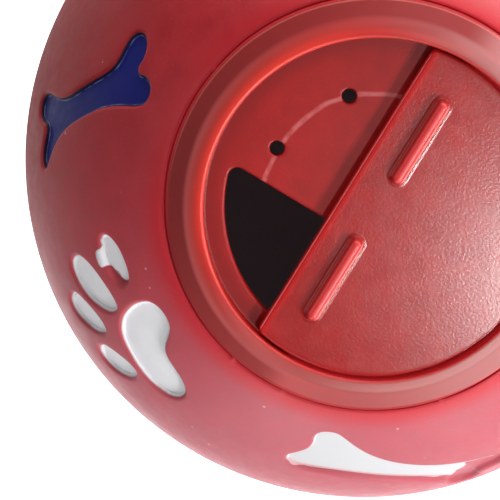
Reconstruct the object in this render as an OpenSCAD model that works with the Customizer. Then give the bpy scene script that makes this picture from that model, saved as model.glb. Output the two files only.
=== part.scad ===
// Treat dispensing ball: a soft hollow ball with a hard insert in its mouth and a turning gate.
// The origin is the centre of the ball and +Z points out of the mouth.

/* [Ball] */
// Outside diameter of the soft ball
ball_d = 120; // [105:1:145]
// Thickness of the ball's wall
wall = 3; // [2.2:0.1:4]
// Thickness of the lip that the insert snaps behind
lip_thick = 3; // [2:0.1:4]

/* [Sunk motifs] */
// Depth of the bones and paws below the surface of the ball
motif_deep = 1.1; // [0.6:0.1:1.5]
// Thickness of the paint on the bottom of each motif
paint_thick = 0.25; // [0.1:0.05:0.4]
// Length of a bone between the centres of its knobs
bone_len = 30; // [24:0.5:33]
// Distance between the two knobs at one end of a bone
knob_apart = 8.8; // [7:0.1:10]
// Radius of a knob
knob_r = 2.8; // [2.2:0.1:3.4]
// Width of a bone at its waist
waist_w = 6.6; // [4.5:0.1:7.5]
// Width of a whole paw print
paw_size = 30; // [24:0.5:33]
// Distance along the ball from the mouth's edge to the middle of the nearer row of motifs
front_row_dist = 20.4; // [19:0.1:24]

/* [Insert] */
// Radius of the recess that the gate turns in
recess_r = 27.6; // [25:0.1:29]
// Width of the ring, from the wall of the recess to its outer edge
ring_w = 6.1; // [5.4:0.1:8]
// Width of the ring's seat on the ball, from its neck outwards
ring_seat_w = 3.5; // [2.5:0.1:4.5]
// Height of the ring's crest above its outer edge
crest_rise = 5.4; // [4:0.1:7]
// Radius of the rounding on the crest
crest_round = 1; // [0.5:0.1:1.5]
// Depth of the recess, from the crest to the floor
recess_deep = 3.5; // [3:0.1:4.5]
// Thickness of the floor of the recess
floor_thick = 2; // [1.5:0.1:3]
// Height of the outer edge of the ring, down into the ball
ring_edge_h = 3.4; // [2.5:0.1:4]
// Thickness of the skirt's wall below the floor
skirt_wall = 2.2; // [1.6:0.1:2.6]
// How far the catch reaches under the ball's lip
catch_reach = 1.5; // [0.8:0.1:2]
// Height of the catch
catch_h = 2.6; // [2:0.1:4]
// Width of the floor that is left between the opening and the wall of the recess
opening_margin = 3.4; // [2:0.1:6]
// Width of the floor that is left between the hub and the opening
floor_land = 0.3; // [0.2:0.1:3]
// Radius of the opening's two corners
opening_corner_r = 1.3; // [0.4:0.1:2]

/* [Click stops] */
// Radius of the circle that the click holes lie on
click_r = 18.5; // [15:0.1:21]
// Diameter of a click hole
click_hole_d = 2.4; // [1.8:0.1:3]
// Height of the nub below the gate
nub_h = 0.25; // [0.15:0.05:0.27]
// Radius of the nub's round tip
nub_round = 1; // [0.8:0.1:1.1]

/* [Gate] */
// How far the gate reaches past the opening's straight edge when it is closed
gate_lap = 0.3; // [0.1:0.1:3]
// Thickness of the gate
gate_thick = 2.2; // [1.8:0.1:2.8]
// Radius of the gate's two corners
gate_corner_r = 0.6; // [0.3:0.1:1.2]
// Length of a finger ridge
ridge_len = 15.6; // [12:0.1:17]
// Width of a finger ridge
ridge_w = 2.5; // [1.8:0.1:3.4]
// Height of a finger ridge above the gate
ridge_h = 2; // [1.8:0.1:3]
// Distance from the pivot to the middle of a finger ridge
ridge_out = 12.9; // [10:0.1:15]

/* [Pivot] */
// Radius of the gate's pivot boss
boss_r = 3.6; // [3:0.1:4]
// Wall of the hub that the boss turns in
hub_wall = 1.75; // [1.4:0.05:2]
// Height of the hub below the floor
hub_h = 2; // [1:0.1:3]
// Radial lap of the washer on the end of the hub
washer_lap = 0.8; // [0.6:0.1:1.3]
// Thickness of the washer
washer_thick = 0.8; // [0.5:0.1:1.2]
// Radius of the screw's shank
screw_r = 1.5; // [1:0.1:1.8]
// Depth of the screw's thread bite in the boss
thread_bite = 0.2; // [0.1:0.05:0.3]
// Thickness of the gate that is left over the screw's hole
screw_cover = 1.2; // [0.8:0.1:2]
// Radius of the screw's head
head_r = 2.8; // [2.2:0.1:3.4]
// Height of the screw's head
head_h = 1.8; // [1.2:0.1:2.4]
// Width of the cross recess's blades
cross_w = 0.8; // [0.5:0.05:1]
// Length of the cross recess from tip to tip
cross_len = 3.2; // [2.4:0.1:3.6]
// Depth of the cross recess
cross_deep = 1.1; // [0.6:0.1:1.3]

/* [Clearances] */
// Gap between the ring's edge and the ball
seat_gap = 0.3; // [0.15:0.05:0.5]
// Gap between the ball's lip and the insert's neck
neck_gap = 0.1; // [0.05:0.05:0.3]
// Radial gap between the gate and the wall of the recess
gate_rim_gap = 0.6; // [0.3:0.1:0.9]
// Gap between the gate and the floor
gate_gap = 0.3; // [0.28:0.02:0.5]
// Radial gap between the pivot boss and its bore
boss_gap = 0.08; // [0.04:0.01:0.1]
// Gap between the washer and the hub
washer_gap = 0.2; // [0.1:0.05:0.4]
// Radial gap between the washer and the screw
washer_bore_gap = 0.1; // [0.05:0.05:0.2]
// Depth left below the tip of the screw
screw_tip_gap = 0.3; // [0.2:0.1:0.6]

/* [Hidden] */
$fn = 96;
red = [0.66, 0.09, 0.10];
deep_red = [0.58, 0.07, 0.08];
blue = [0.10, 0.11, 0.38];
white = [0.88, 0.88, 0.90];
// Overrun of every cut
over = 1;
ball_r = ball_d / 2;
cavity_r = ball_r - wall;
// Radii of the insert and of what fits to it
ring_r = recess_r + ring_w;
seat_r = ring_r + seat_gap;
neck_r = ring_r - ring_seat_w;
mouth_r = neck_r + neck_gap;
skirt_r = neck_r - skirt_wall;
opening_r = recess_r - opening_margin;
bore_r = boss_r + boss_gap;
hub_r = bore_r + hub_wall;
washer_r = bore_r + washer_lap;
gate_r = recess_r - gate_rim_gap;
// Distances of the straight edges of the opening and of the gate from the pivot
floor_past = hub_r + floor_land;
gate_past = floor_past + gate_lap;
// Heights above the centre of the ball, from the ring's edge up and down
edge_z = sqrt(ball_r * ball_r - ring_r * ring_r);
crest_z = edge_z + crest_rise;
floor_z = crest_z - recess_deep;
hub_z = floor_z - floor_thick - hub_h;
lip_z = edge_z - ring_edge_h - lip_thick;
skirt_z = lip_z - catch_h;
gate_z = floor_z + gate_gap;
gate_top_z = gate_z + gate_thick;
boss_z = hub_z - washer_gap;
screw_seat_z = boss_z - washer_thick;
screw_tip_z = gate_top_z - screw_cover - screw_tip_gap;
screw_len = screw_tip_z - screw_seat_z;
// The ring's sloping face runs from its edge to a tangent on the crest's rounding
crest_mid_r = recess_r + crest_round;
crest_mid_z = crest_z - crest_round;
face_run = ring_r - crest_mid_r;
face_fall = crest_mid_z - edge_z;
face_slope = atan2(face_fall, face_run) + asin(crest_round / norm([face_run, face_fall]));
face_top_r = crest_mid_r + crest_round * sin(face_slope);
face_top_z = crest_mid_z + crest_round * cos(face_slope);
// Number of straight steps round a corner of the opening and of the gate
corner_steps = 6;
// Click holes lie an eighth of a turn apart and stop the gate closed, at three part ways and open
click_angles = [0, 45, 90, 135, 180];
// A bone's long sides are arcs that touch the knobs
half_len = bone_len / 2;
knob_step = (waist_w - knob_apart) / 2;
side_r = (half_len * half_len + knob_step * knob_step - knob_r * knob_r) / (2 * (knob_r - knob_step));
side_mid = waist_w / 2 + side_r;
side_share = side_r / (side_r + knob_r);
side_x = half_len * side_share;
side_y = side_mid - (side_mid - knob_apart / 2) * side_share;
// The straight sides between the circles of a paw's forms, as a share of the circles' radii
side_draw_share = 0.96;
// Each row is a rounded form between two circles, as shares of paw_size: x, y, radius, twice
pad_shares = [
    [0.04, 0.32, 0.12, 0.15, 0.14, 0.15],
    [0.15, 0.14, 0.15, 0.40, 0.12, 0.13]
];
toe_shares = [
    [-0.41, 0.23, 0.09, -0.29, 0.25, 0.075],
    [-0.32, -0.12, 0.105, -0.16, 0.01, 0.07],
    [-0.14, -0.35, 0.085, -0.02, -0.22, 0.065],
    [0.21, -0.33, 0.09, 0.27, -0.20, 0.07]
];
// The motifs stand in two rows, at these angles from the middle of the mouth
front_row = asin(seat_r / ball_r) + front_row_dist / ball_r * 180 / PI;
rear_row = 124;
// Each row is a place on the ball: angle from the mouth, angle round it, turn, and share of size
blue_bones = [
    [front_row + 3.5, -165.8, -51.5, 0.95],
    [front_row + 2, 67, -38, 1],
    [rear_row, -45, 35, 1]
];
white_bones = [
    [front_row, -53, -29, 1.07],
    [rear_row - 1, 75, 150, 1],
    [rear_row, -165, 40, 1]
];
blue_paws = [
    [front_row - 0.5, 7, 28, 1],
    [rear_row, 135, 190, 1]
];
white_paws = [
    [front_row - 0.5, -121, 0, 1],
    [front_row, 128, -20, 1],
    [rear_row, 15, 200, 1],
    [rear_row + 1, -105, 165, 1]
];

// Two circles and straight sides between them, drawn in a little; p and q hold x, y and radius
module wedge(p, q) {
    way = atan2(q[1] - p[1], q[0] - p[0]);
    reach = norm([q[0] - p[0], q[1] - p[1]]);
    translate([p[0], p[1]]) {
        circle(r = p[2]);
        rotate(way) {
            translate([reach, 0]) circle(r = q[2]);
            polygon([
                [0, -p[2] * side_draw_share],
                [reach, -q[2] * side_draw_share],
                [reach, q[2] * side_draw_share],
                [0, p[2] * side_draw_share]
            ]);
        }
    }
}

module bone_outline() {
    difference() {
        union() {
            square([bone_len, knob_apart], center = true);
            square([2 * side_x, 2 * side_y], center = true);
        }
        for (side = [-1, 1])
            translate([0, side * side_mid]) circle(r = side_r);
    }
    for (x = [-1, 1], y = [-1, 1])
        translate([x * half_len, y * knob_apart / 2]) circle(r = knob_r);
}

module paw_outline() {
    for (row = concat(pad_shares, toe_shares))
        wedge(paw_size * [row[0], row[1], row[2]], paw_size * [row[3], row[4], row[5]]);
}

// Stands an outline on the ball at each place, with its top towards the mouth before its turn
module stamp(places) {
    for (place = places)
        rotate([0, 0, place[1]])
            rotate([0, place[0], 0])
                rotate([0, 0, 90 + place[2]])
                    translate([0, 0, ball_r / 2])
                        linear_extrude(ball_r)
                            scale(place[3]) children();
}

// A round skin between two radii about the centre of the ball
module skin(inner_r, outer_r) {
    difference() {
        sphere(r = outer_r);
        sphere(r = inner_r);
    }
}

module motifs(bones, paws, inner_r, outer_r) {
    intersection() {
        union() {
            stamp(bones) bone_outline();
            stamp(paws) paw_outline();
        }
        skin(inner_r, outer_r);
    }
}

// Height of the sloping seat that the ring lies on, at a radius
function seat_z(r) = edge_z - ring_edge_h + (ring_r - r) * tan(face_slope);

// Half the section of the space that the insert takes from the ball, with its seat and lip
module mouth_section() {
    polygon([
        [0, lip_z - over],
        [mouth_r, lip_z - over],
        [mouth_r, seat_z(mouth_r)],
        [seat_r, seat_z(seat_r)],
        [seat_r, ball_r],
        [0, ball_r]
    ]);
}

module ball_shell() {
    color(red)
        difference() {
            sphere(r = ball_r);
            intersection() {
                sphere(r = cavity_r);
                translate([0, 0, lip_z - ball_d])
                    cylinder(h = ball_d, r = ball_r);
            }
            rotate_extrude() mouth_section();
            motifs(
                concat(blue_bones, white_bones),
                concat(blue_paws, white_paws),
                ball_r - motif_deep,
                ball_r + over
            );
        }
}

module blue_paint() {
    bottom_r = ball_r - motif_deep;
    color(blue) motifs(blue_bones, blue_paws, bottom_r, bottom_r + paint_thick);
}

module white_paint() {
    bottom_r = ball_r - motif_deep;
    color(white) motifs(white_bones, white_paws, bottom_r, bottom_r + paint_thick);
}

// Half the section of the ring, the wall of the recess, the neck and the catch
module ring_section() {
    polygon([
        [recess_r, floor_z - floor_thick],
        [recess_r, crest_mid_z],
        [crest_mid_r, crest_mid_z],
        [face_top_r, face_top_z],
        [ring_r, edge_z],
        [ring_r, seat_z(ring_r)],
        [neck_r, seat_z(neck_r)],
        [neck_r, lip_z],
        [neck_r + catch_reach, lip_z],
        [neck_r, skirt_z],
        [skirt_r, skirt_z],
        [skirt_r, floor_z - floor_thick]
    ]);
    translate([crest_mid_r, crest_mid_z]) circle(r = crest_round);
}

// A disc cut straight at a distance past its middle, with round corners; it fills the side of -Y
module part_disc(r, past, corner_r) {
    corner_y = past - corner_r;
    corner_x = sqrt((r - corner_r) * (r - corner_r) - corner_y * corner_y);
    first = atan2(corner_y, corner_x);
    lead = r * [cos(first), sin(first)] + 2 * corner_r * [sin(first), -cos(first)];
    corner = [
        for (i = [1:corner_steps])
            let (turn = first + (90 - first) * i / corner_steps)
            [corner_x + corner_r * cos(turn), corner_y + corner_r * sin(turn)]
    ];
    half = concat([[r + over, -r - over], [r + over, lead[1]], lead], corner);
    intersection() {
        circle(r = r);
        polygon(concat(half, [for (i = [len(half) - 1:-1:0]) [-half[i][0], half[i][1]]]));
    }
}

module insert() {
    color(deep_red)
        difference() {
            union() {
                rotate_extrude() ring_section();
                translate([0, 0, floor_z - floor_thick])
                    cylinder(h = floor_thick, r = (recess_r + neck_r) / 2);
                translate([0, 0, hub_z])
                    cylinder(h = hub_h, r = hub_r);
            }
            translate([0, 0, floor_z - floor_thick - over])
                linear_extrude(floor_thick + 2 * over)
                    part_disc(opening_r, -floor_past, opening_corner_r);
            translate([0, 0, hub_z - over])
                cylinder(h = floor_thick + hub_h + 2 * over, r = bore_r);
            for (turn = click_angles)
                rotate([0, 0, turn])
                    translate([click_r, 0, floor_z - floor_thick - over])
                        cylinder(h = floor_thick + 2 * over, d = click_hole_d);
        }
}

// A finger ridge with round ends and a round back, along Y, that starts a little way down in the gate
module ridge(sink) {
    back_r = ridge_w / 2;
    side_h = sink + ridge_h - back_r;
    reach = ridge_len / 2 - back_r;
    for (end = [-1, 1])
        translate([0, end * reach, 0]) {
            cylinder(h = side_h, r = back_r);
            translate([0, 0, side_h]) sphere(r = back_r);
        }
    translate([0, 0, side_h])
        rotate([90, 0, 0])
            cylinder(h = 2 * reach, r = back_r, center = true);
    translate([-back_r, -reach, 0]) cube([ridge_w, 2 * reach, side_h]);
}

module gate() {
    sink = gate_thick / 2;
    color(red)
        difference() {
            union() {
                translate([0, 0, gate_z])
                    linear_extrude(gate_thick)
                        rotate(90) part_disc(gate_r, gate_past, gate_corner_r);
                translate([0, 0, boss_z])
                    cylinder(h = gate_z + sink - boss_z, r = boss_r);
                for (end = [-1, 1])
                    translate([0, end * ridge_out, gate_top_z - sink]) ridge(sink);
                translate([0, click_r, gate_z + nub_round - nub_h])
                    sphere(r = nub_round);
            }
            translate([0, 0, boss_z - over])
                cylinder(h = screw_tip_z + screw_tip_gap - boss_z + over, r = screw_r - thread_bite);
        }
}

module pivot_screw() {
    color("silver")
        difference() {
            union() {
                translate([0, 0, screw_seat_z]) cylinder(h = screw_len, r = screw_r);
                translate([0, 0, screw_seat_z - head_h]) cylinder(h = head_h, r = head_r);
            }
            for (turn = [0, 90])
                rotate([0, 0, turn])
                    translate([-cross_len / 2, -cross_w / 2, screw_seat_z - head_h - over])
                        cube([cross_len, cross_w, cross_deep + over]);
        }
}

module pivot_washer() {
    color("silver")
        translate([0, 0, screw_seat_z])
            difference() {
                cylinder(h = washer_thick, r = washer_r);
                translate([0, 0, -over])
                    cylinder(h = washer_thick + 2 * over, r = screw_r + washer_bore_gap);
            }
}

ball_shell();
insert();
gate();
pivot_screw();
pivot_washer();
blue_paint();
white_paint();
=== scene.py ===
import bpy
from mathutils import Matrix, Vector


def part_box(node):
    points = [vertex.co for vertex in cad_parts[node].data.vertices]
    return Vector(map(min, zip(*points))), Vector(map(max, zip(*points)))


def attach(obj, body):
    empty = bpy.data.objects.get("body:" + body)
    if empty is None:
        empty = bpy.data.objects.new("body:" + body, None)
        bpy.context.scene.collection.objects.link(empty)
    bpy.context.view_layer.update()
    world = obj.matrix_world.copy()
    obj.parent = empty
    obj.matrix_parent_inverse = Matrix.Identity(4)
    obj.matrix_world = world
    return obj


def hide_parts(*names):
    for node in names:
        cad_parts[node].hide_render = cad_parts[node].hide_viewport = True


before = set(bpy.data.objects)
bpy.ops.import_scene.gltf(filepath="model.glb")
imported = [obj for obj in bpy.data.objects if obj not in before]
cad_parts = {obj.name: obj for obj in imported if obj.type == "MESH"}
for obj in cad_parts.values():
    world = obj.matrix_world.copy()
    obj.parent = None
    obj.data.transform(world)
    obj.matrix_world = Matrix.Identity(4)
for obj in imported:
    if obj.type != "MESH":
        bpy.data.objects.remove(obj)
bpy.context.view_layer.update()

import math
import bpy
import bmesh
import numpy as np
from mathutils import Matrix, Vector
from mathutils.geometry import delaunay_2d_cdt
from mathutils.kdtree import KDTree

# lengths in mm unless a name says otherwise, in the frame of the CAD: the ball's centre, +Z out of the mouth
mm = 0.001


def cadSize(node):
    # a CAD node's lowest and highest height, and how far it reaches towards +X
    low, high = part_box(node)
    return round(low[2] / mm, 3), round(high[2] / mm, 3), round(high[0] / mm, 3)


ballReach = cadSize("ball_shell")[2]
insertFoot, insertTop, insertReach = cadSize("insert")
gateFoot, gateHigh, _ = cadSize("gate")


class Skin:
    # points and faces, gathered into one mesh
    def __init__(self):
        self.points, self.faces, self.values, self.count = [], [], {}, 0

    def loop(self, points):
        points = np.asarray(points, float)
        ids = list(range(self.count, self.count + len(points)))
        self.points.append(points)
        self.count += len(points)
        return ids

    def bridge(self, a, b):
        n = len(a)
        self.faces += [(a[i], a[(i + 1) % n], b[(i + 1) % n], b[i]) for i in range(n)]

    def take(self, points, faces, **values):
        first = self.loop(points)[0]
        self.faces += [tuple(first + i for i in face) for face in faces]
        for label, numbers in values.items():
            self.values.setdefault(label, []).append(numbers)
        return first

    def fill(self, outline, holes, place):
        # triangles between an outline and its holes, all given as flat points
        flat = np.vstack([outline, *holes])
        loops, at = [], 0
        for one in [outline, *holes]:
            loops.append(list(range(at, at + len(one))))
            at += len(one)
        points, triangles, owners = triangulate(flat, loops)
        keep = [t for t, own in zip(triangles, owners) if own == {0}]
        self.take(place(points), keep)

    def walls(self, outline, rows):
        # loops of a flat outline, each moved in and lifted as its row says; returns them flat
        flats = [outline + inwards(outline) * inward for inward, _ in rows]
        ids = [self.loop(level(height)(flat)) for flat, (_, height) in zip(flats, rows)]
        for a, b in zip(ids, ids[1:]):
            self.bridge(a, b)
        return flats

    def close(self, rim, tip):
        # a fan from a loop of points to one point
        ids, end = self.loop(rim), self.loop([tip])[0]
        self.faces += [(ids[i], ids[(i + 1) % len(ids)], end) for i in range(len(ids))]

    def build(self, name, material, weld=0.0008):
        mesh = bpy.data.meshes.new(name)
        mesh.from_pydata((np.vstack(self.points) * mm).tolist(), [], self.faces)
        for label, parts in self.values.items():
            layer = mesh.attributes.new(label, "FLOAT", "POINT")
            layer.data.foreach_set("value", np.concatenate(parts).astype(np.float32))
        form = bmesh.new()
        form.from_mesh(mesh)
        bmesh.ops.remove_doubles(form, verts=form.verts, dist=weld * mm)
        bmesh.ops.dissolve_degenerate(form, edges=form.edges, dist=1e-7)
        loose = [v for v in form.verts if not v.link_faces]
        bmesh.ops.delete(form, geom=loose, context="VERTS")
        bmesh.ops.recalc_face_normals(form, faces=form.faces)
        openEdges = sum(1 for e in form.edges if len(e.link_faces) != 2)
        form.to_mesh(mesh)
        form.free()
        mesh.shade_smooth()
        mesh.materials.append(material)
        piece = bpy.data.objects.new(name, mesh)
        bpy.context.collection.objects.link(piece)
        print(name, len(mesh.polygons), "faces, open edges", openEdges)
        return piece


def triangulate(flat, loops):
    # triangles over flat points, and which of the loops each lies in
    loops = [loop if area(flat[loop]) > 0 else loop[::-1] for loop in loops]
    points, _, faces, _, _, owners = delaunay_2d_cdt(
        [Vector(p) for p in flat.tolist()], [], loops, 0, 1e-6
    )
    return np.array([tuple(p) for p in points]), faces, [set(o) for o in owners]


def smoothLoop(points, spacing):
    # a closed smooth curve through the points, in even steps
    p = np.array(points, float)
    t = np.arange(0, len(p), 0.02)
    i, f = t.astype(int), (t % 1)[:, None]
    a, b, c, d = (p[(i + k) % len(p)] for k in (-1, 0, 1, 2))
    fine = b + 0.5 * f * (c - a + f * (2 * a - 5 * b + 4 * c - d + f * (3 * b - a - 3 * c + d)))
    return evenly(fine, spacing)


def area(loop):
    after = np.roll(loop, -1, 0)
    return np.sum(loop[:, 0] * after[:, 1] - after[:, 0] * loop[:, 1]) / 2


def evenly(fine, spacing):
    closed = np.vstack([fine, fine[:1]])
    along = np.concatenate([[0], np.cumsum(np.linalg.norm(np.diff(closed, axis=0), axis=1))])
    count = max(12, int(round(along[-1] / spacing)))
    at = np.arange(count) * along[-1] / count
    return np.stack([np.interp(at, along, closed[:, k]) for k in (0, 1)], 1)


def inwards(loop):
    # unit normals to the inside of an anticlockwise loop
    way = np.roll(loop, -1, 0) - np.roll(loop, 1, 0)
    way /= np.linalg.norm(way, axis=1)[:, None]
    return np.stack([-way[:, 1], way[:, 0]], 1)


def movedIn(loop, by):
    # the loop moved inwards in small steps, smoothed a little at each
    moved, steps = loop.copy(), max(1, int(math.ceil(abs(by) / 0.12)))
    for _ in range(steps):
        moved = moved + inwards(moved) * by / steps
        if steps > 1:
            moved = 0.9 * moved + 0.05 * (np.roll(moved, 1, 0) + np.roll(moved, -1, 0))
    return moved


def arcPoints(centre, radius, start, end, steps):
    # points of an arc, angles in degrees
    turn = np.radians(np.linspace(start, end, steps + 1))
    return [(centre[0] + radius * math.cos(t), centre[1] + radius * math.sin(t)) for t in turn]


def curved(start, knee, end, steps):
    # points after the start of a curve that leaves towards the knee and arrives from it
    a, k, b = (np.array(p, float) for p in (start, knee, end))
    shares = np.arange(1, steps + 1) / steps
    return [tuple((1 - t) ** 2 * a + 2 * t * (1 - t) * k + t * t * b) for t in shares]


def level(height):
    # lifts flat points to one height
    return lambda flat: np.hstack([flat, np.full((len(flat), 1), height)])


def formTree(name, inputs, nodes, links):
    # a Geometry Nodes tree from its inputs, its nodes by label and its links, written node.socket
    tree = bpy.data.node_groups.new(name, "GeometryNodeTree")
    for label, kind in inputs:
        tree.interface.new_socket(label, in_out="INPUT", socket_type="NodeSocket" + kind)
    tree.interface.new_socket("Form", in_out="OUTPUT", socket_type="NodeSocketGeometry")
    made = {"given": tree.nodes.new("NodeGroupInput"), "result": tree.nodes.new("NodeGroupOutput")}
    for label, kind in nodes:
        made[label] = tree.nodes.new("GeometryNode" + kind)
    for start, end in links:
        (first, output), (second, taken) = start.split("."), end.split(".")
        tree.links.new(made[first].outputs[output], made[second].inputs[taken])
    return tree


turnedInputs = [
    ("Profile", "Geometry"), ("Steps", "Int"), ("Path Radius", "Float"), ("Surface", "Material"),
]
turnedNodes = [
    ("line", "MeshToCurve"), ("path", "CurvePrimitiveCircle"), ("sweep", "CurveToMesh"),
    ("whole", "RealizeInstances"), ("paint", "SetMaterial"),
]
turnedLinks = [
    ("given.Profile", "line.Mesh"), ("given.Steps", "path.Resolution"),
    ("given.Path Radius", "path.Radius"), ("path.Curve", "sweep.Curve"),
    ("line.Curve", "sweep.Profile Curve"), ("whole.Geometry", "paint.Geometry"),
    ("given.Surface", "paint.Material"), ("paint.Geometry", "result.Form"),
]
turned = formTree("turnedForm", turnedInputs, turnedNodes, turnedLinks + [("sweep.Mesh", "whole.Geometry")])
turnedRow = formTree(
    "turnedRow",
    turnedInputs + [
        ("Count", "Int"), ("Row Radius", "Float"), ("Row Start", "Float"), ("Row Sweep", "Float"),
    ],
    turnedNodes + [("row", "CurveArc"), ("copies", "InstanceOnPoints")],
    turnedLinks + [
        ("given.Count", "row.Resolution"), ("given.Row Radius", "row.Radius"),
        ("given.Row Start", "row.Start Angle"), ("given.Row Sweep", "row.Sweep Angle"),
        ("row.Curve", "copies.Points"), ("sweep.Mesh", "copies.Instance"),
        ("copies.Instances", "whole.Geometry"),
    ],
)


def turnedForm(profile, steps, material, row=None):
    # turns a line of (radius, height) round the axis, once or for each place of a row;
    # returns points, faces and the loops at the line's two ends
    mesh = bpy.data.meshes.new("profile")
    pathRadius = 30.0  # the profile is drawn about the circle it is swept along
    line = [((r - pathRadius) * mm, -z * mm, 0) for r, z in profile]
    mesh.from_pydata(line, [(i, i + 1) for i in range(len(line) - 1)], [])
    holder = bpy.data.objects.new("profile", mesh)
    bpy.context.collection.objects.link(holder)
    modifier = holder.modifiers.new("turned", "NODES")
    modifier.node_group = turnedRow if row else turned
    sockets = {s.name: s.identifier for s in modifier.node_group.interface.items_tree if s.in_out == "INPUT"}
    values = {"Steps": steps, "Path Radius": pathRadius * mm, "Surface": material, **(row or {})}
    for label, value in values.items():
        modifier[sockets[label]] = value
    graph = bpy.context.evaluated_depsgraph_get()
    result = bpy.data.meshes.new_from_object(holder.evaluated_get(graph))
    points = np.array([v.co for v in result.vertices]) / mm
    faces = [tuple(f.vertices) for f in result.polygons]
    holder.modifiers.remove(modifier)
    bpy.data.objects.remove(holder)
    bpy.data.meshes.remove(result)
    wide = len(profile)
    return points, faces, points[0::wide], points[wide - 1::wide]


def addTurned(skin, profile, steps, material, centre=(0, 0)):
    points, faces, first, last = turnedForm(profile, steps, material)
    shift = np.array([centre[0], centre[1], 0])
    skin.take(points + shift, faces)
    return first + shift, last + shift


class Wire:
    # a socket that sums can be written with
    def __init__(self, shader, socket):
        self.shader, self.socket = shader, socket

    def __add__(self, other):
        return self.shader.maths("ADD", self, other)

    def __sub__(self, other):
        return self.shader.maths("SUBTRACT", self, other)

    def __rsub__(self, other):
        return self.shader.maths("SUBTRACT", other, self)

    def __mul__(self, other):
        return self.shader.maths("MULTIPLY", self, other)

    __radd__, __rmul__ = __add__, __mul__


class Shader:
    # the nodes of a material or of the world
    def __init__(self, owner):
        owner.use_nodes = True
        self.owner, self.tree = owner, owner.node_tree
        self.tree.nodes.clear()

    def node(self, kind, settings=None, sockets=None, take=0):
        made = self.tree.nodes.new("ShaderNode" + kind)
        for label, value in (settings or {}).items():
            setattr(made, label, value)
        for label, value in (sockets or {}).items():
            if isinstance(value, Wire):
                self.tree.links.new(value.socket, made.inputs[label])
            else:
                made.inputs[label].default_value = value
        return Wire(self, made.outputs[take]) if made.outputs else None

    def maths(self, operation, a, b=0.0):
        return self.node("Math", {"operation": operation}, {0: a, 1: b})

    def place(self):
        return self.node("TexCoord", take="Object")

    def axes(self):
        # x, y and z in mm
        split = self.node("SeparateXYZ", None, {0: self.place()})
        node = split.socket.node
        return [Wire(self, node.outputs[k]) * (1 / mm) for k in range(3)]

    def fromAxis(self, x, y):
        # mm from the ball's axis
        return self.maths("SQRT", x * x + y * y)

    def kept(self, label):
        # a number kept at the mesh's points
        return self.node("Attribute", {"attribute_name": label}, take="Fac")

    def noise(self, scale, detail=2.0, vector=None):
        # scale: features to the metre
        sockets = {"Vector": vector or self.place(), "Scale": scale, "Detail": detail}
        return self.node("TexNoise", None, sockets)

    def cloud(self, scale, detail, low, high, first=0.0, last=1.0):
        return self.spread(self.noise(scale, detail), low, high, first, last)

    def spread(self, value, low, high, first=0.0, last=1.0):
        # value from low to high becomes first to last, softly
        return self.node("MapRange", {"interpolation_type": "SMOOTHSTEP"}, {
            "Value": value, "From Min": low, "From Max": high, "To Min": first, "To Max": last,
        })

    def band(self, value, centre, half, soft):
        # 1 within half of the centre, falling to 0 over soft
        away = self.maths("ABSOLUTE", value - centre)
        return self.spread(away, half, half + soft, 1.0, 0.0)

    def blend(self, share, a, b):
        # a colour Mix node, whose sockets are 0, 6 and 7
        return self.node("Mix", {"data_type": "RGBA"}, {0: share, 6: colour(a), 7: colour(b)}, 2)

    def bump(self, height, strength, distance):
        return self.node("Bump", None, {"Height": height, "Strength": strength, "Distance": distance})

    def finish(self, base, rough, normal=None, **fixed):
        sockets = {"Base Color": base, "Roughness": rough, **fixed}
        if normal:
            sockets["Normal"] = normal
        self.node("OutputMaterial", None, {0: self.node("BsdfPrincipled", None, sockets)})
        return self.owner


def newMaterial(name):
    return Shader(bpy.data.materials.new(name))


def colour(value):
    return value if isinstance(value, Wire) else (*value, 1)


vinylLook = {
    "red": (0.46, 0.020, 0.028), "deep": (0.40, 0.015, 0.021), "pale": (0.55, 0.050, 0.070),
    "paintedSheen": (0.46, 0.155, 0.20), "upper": (0.70, 0.15, 0.165), "paintedLimbShade": (0.24, 0.003, 0.006),
    "rim": (0.52, 0.014, 0.024), "grooveLightAndShade": (0.34, 0.008, 0.014), "grooveGlow": (0.07, 0.004, 0.007),
    "speck": (0.80, 0.42, 0.42), "inside": (0.50, 0.36, 0.38), "through": (0.005, 0.005, 0.0055),
    "roughness": 0.46,
    "specksPerMetre": 250.0,
    "speckSize": (0.05, 0.085),
    # in mm, where each tone begins and ends, and how much of it shows
    "paintedSheenSpan": (-35.0, 50.0), "paintedSheenShare": 0.5,
    "paintedTopLightSpan": (8.0, 42.0), "paintedTopLightShare": 0.5,
    "paintedLimbShadeSpan": (-56.0, -38.0), "paintedLimbShadeShare": 0.5,
    "ringShadeSpan": (34.6, 38.5), "ringShadeShare": 0.75,
    "grooveLightAndShadeSpan": (34.1, 34.6),
    "insideSpan": (57.3, 57.8),
    "subsurface": {
        "Subsurface Weight": 0.3, "Subsurface Radius": (1.0, 0.16, 0.16), "Subsurface Scale": 0.001,
        "IOR": 1.34,
    },
}


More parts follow.
